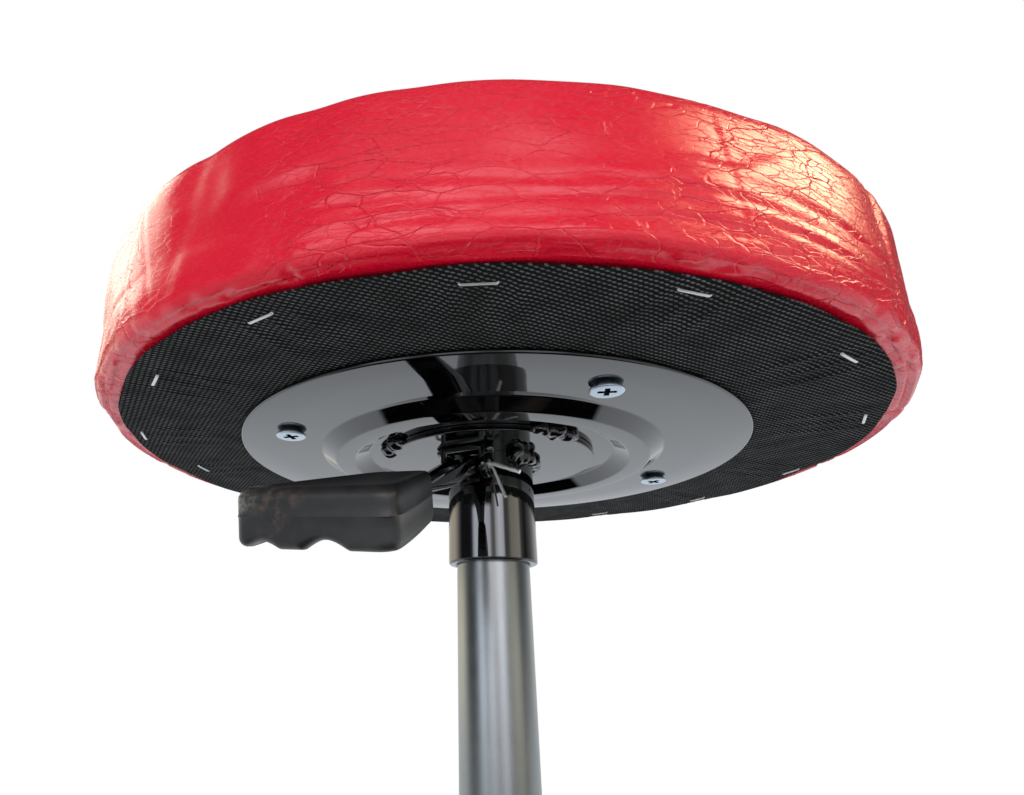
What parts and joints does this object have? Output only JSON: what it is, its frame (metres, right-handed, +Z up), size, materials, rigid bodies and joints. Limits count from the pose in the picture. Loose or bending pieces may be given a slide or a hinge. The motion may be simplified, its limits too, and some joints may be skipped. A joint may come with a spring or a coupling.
{
  "type": "round swivel stool",
  "caption": "Round padded stool on a gas spring: release lever under the seat, swivelling column, star base, twin-wheel casters.",
  "frame": {"origin": "on the floor, on the axis of the column, under the middle of the base", "axes": "+Z up; -Y towards the lift lever, and the lever turns about X"},
  "size_m": [0.4684, 0.4668, 0.5129],
  "materials": {
    "red_vinyl": "grained upholstery vinyl",
    "foam": "open-cell foam",
    "plywood": "raw plywood",
    "black_nonwoven": "spunbond nonwoven with pressed dots",
    "black_enamel": "glossy black enamel on steel",
    "screw_zinc": "blue zinc plate",
    "bright_zinc": "drawn steel, zinc plated",
    "black_plastic": "moulded plastic, fine grain",
    "red_plastic": "moulded",
    "pale_plastic": "moulded",
    "rubber": "moulded"
  },
  "bodies": {
    "root": {"outer_column": "black_enamel", "guide_bush": "black_plastic", "star_base": "black_plastic", "lower_race": "bright_zinc", "caster_1_stem": "bright_zinc", "caster_2_stem": "bright_zinc", "caster_3_stem": "bright_zinc", "caster_4_stem": "bright_zinc", "caster_5_stem": "bright_zinc"},
    "rod": {"piston_rod": "bright_zinc", "piston": "bright_zinc", "upper_race": "bright_zinc", "ball_cage": "bright_zinc", "rod_clip": "bright_zinc", "bump_stop": "rubber"},
    "seat": {"vinyl_cover": "red_vinyl", "seat_foam": "foam", "seat_board": "plywood", "dust_cover": "black_nonwoven", "mounting_plate": "black_enamel", "welded_disc": "black_enamel", "mounting_screw_1": "screw_zinc", "mounting_screw_2": "screw_zinc", "mounting_screw_3": "screw_zinc", "mounting_screw_4": "screw_zinc", "socket_tube": "black_enamel", "lever_bracket": "black_enamel", "split_pin": "bright_zinc", "pressure_tube": "bright_zinc", "tube_guide_ring": "pale_plastic", "valve_body": "bright_zinc"},
    "lever": {"lever_arm": "black_enamel", "lever_paddle": "black_plastic"},
    "button": {"release_button": "red_plastic"},
    "caster_1": {"caster_1_hood": "black_plastic", "caster_1_axle": "bright_zinc"},
    "wheel_1_left": {"caster_1_wheel_left": "black_plastic"},
    "wheel_1_right": {"caster_1_wheel_right": "black_plastic"},
    "caster_2": {"caster_2_hood": "black_plastic", "caster_2_axle": "bright_zinc"},
    "wheel_2_left": {"caster_2_wheel_left": "black_plastic"},
    "wheel_2_right": {"caster_2_wheel_right": "black_plastic"},
    "caster_3": {"caster_3_hood": "black_plastic", "caster_3_axle": "bright_zinc"},
    "wheel_3_left": {"caster_3_wheel_left": "black_plastic"},
    "wheel_3_right": {"caster_3_wheel_right": "black_plastic"},
    "caster_4": {"caster_4_hood": "black_plastic", "caster_4_axle": "bright_zinc"},
    "wheel_4_left": {"caster_4_wheel_left": "black_plastic"},
    "wheel_4_right": {"caster_4_wheel_right": "black_plastic"},
    "caster_5": {"caster_5_hood": "black_plastic", "caster_5_axle": "bright_zinc"},
    "wheel_5_left": {"caster_5_wheel_left": "black_plastic"},
    "wheel_5_right": {"caster_5_wheel_right": "black_plastic"}
  },
  "joints": [
    {"name": "seat_swivel", "type": "hinge", "parent": "root", "child": "rod", "pos_m": [0, 0, 0.07], "axis": [0, 0, 1], "continuous": true},
    {"name": "seat_height", "type": "slide", "parent": "rod", "child": "seat", "axis": [0, 0, 1], "range_m": [-0.12, 0]},
    {"name": "lever_lift", "type": "hinge", "parent": "seat", "child": "lever", "pos_m": [0, -0.022, 0.445], "axis": [-1, 0, 0], "range_deg": [0, 10]},
    {"name": "button_press", "type": "slide", "parent": "seat", "child": "button", "axis": [0, 0, 1], "range_m": [-0.0042, 0]},
    {"name": "caster_1_swivel", "type": "hinge", "parent": "root", "child": "caster_1", "pos_m": [0, 0.22, 0.05], "axis": [0, 0, 1], "continuous": true},
    {"name": "wheel_1_left_spin", "type": "hinge", "parent": "caster_1", "child": "wheel_1_left", "pos_m": [0, 0.194, 0.02469], "axis": [1, 0, 0], "continuous": true},
    {"name": "wheel_1_right_spin", "type": "hinge", "parent": "caster_1", "child": "wheel_1_right", "pos_m": [0, 0.194, 0.02469], "axis": [1, 0, 0], "continuous": true},
    {"name": "caster_2_swivel", "type": "hinge", "parent": "root", "child": "caster_2", "pos_m": [-0.20923, 0.06798, 0.05], "axis": [0, 0, 1], "continuous": true},
    {"name": "wheel_2_left_spin", "type": "hinge", "parent": "caster_2", "child": "wheel_2_left", "pos_m": [-0.20923, 0.04198, 0.02469], "axis": [1, 0, 0], "continuous": true},
    {"name": "wheel_2_right_spin", "type": "hinge", "parent": "caster_2", "child": "wheel_2_right", "pos_m": [-0.20923, 0.04198, 0.02469], "axis": [1, 0, 0], "continuous": true},
    {"name": "caster_3_swivel", "type": "hinge", "parent": "root", "child": "caster_3", "pos_m": [-0.12931, -0.17798, 0.05], "axis": [0, 0, 1], "continuous": true},
    {"name": "wheel_3_left_spin", "type": "hinge", "parent": "caster_3", "child": "wheel_3_left", "pos_m": [-0.12931, -0.20398, 0.02469], "axis": [1, 0, 0], "continuous": true},
    {"name": "wheel_3_right_spin", "type": "hinge", "parent": "caster_3", "child": "wheel_3_right", "pos_m": [-0.12931, -0.20398, 0.02469], "axis": [1, 0, 0], "continuous": true},
    {"name": "caster_4_swivel", "type": "hinge", "parent": "root", "child": "caster_4", "pos_m": [0.12931, -0.17798, 0.05], "axis": [0, 0, 1], "continuous": true},
    {"name": "wheel_4_left_spin", "type": "hinge", "parent": "caster_4", "child": "wheel_4_left", "pos_m": [0.12931, -0.20398, 0.02469], "axis": [1, 0, 0], "continuous": true},
    {"name": "wheel_4_right_spin", "type": "hinge", "parent": "caster_4", "child": "wheel_4_right", "pos_m": [0.12931, -0.20398, 0.02469], "axis": [1, 0, 0], "continuous": true},
    {"name": "caster_5_swivel", "type": "hinge", "parent": "root", "child": "caster_5", "pos_m": [0.20923, 0.06798, 0.05], "axis": [0, 0, 1], "continuous": true},
    {"name": "wheel_5_left_spin", "type": "hinge", "parent": "caster_5", "child": "wheel_5_left", "pos_m": [0.20923, 0.04198, 0.02469], "axis": [1, 0, 0], "continuous": true},
    {"name": "wheel_5_right_spin", "type": "hinge", "parent": "caster_5", "child": "wheel_5_right", "pos_m": [0.20923, 0.04198, 0.02469], "axis": [1, 0, 0], "continuous": true}
  ],
  "couplings": [
    {"joint": "button_press", "follows": "lever_lift", "m_per_rad": -0.022}
  ]
}
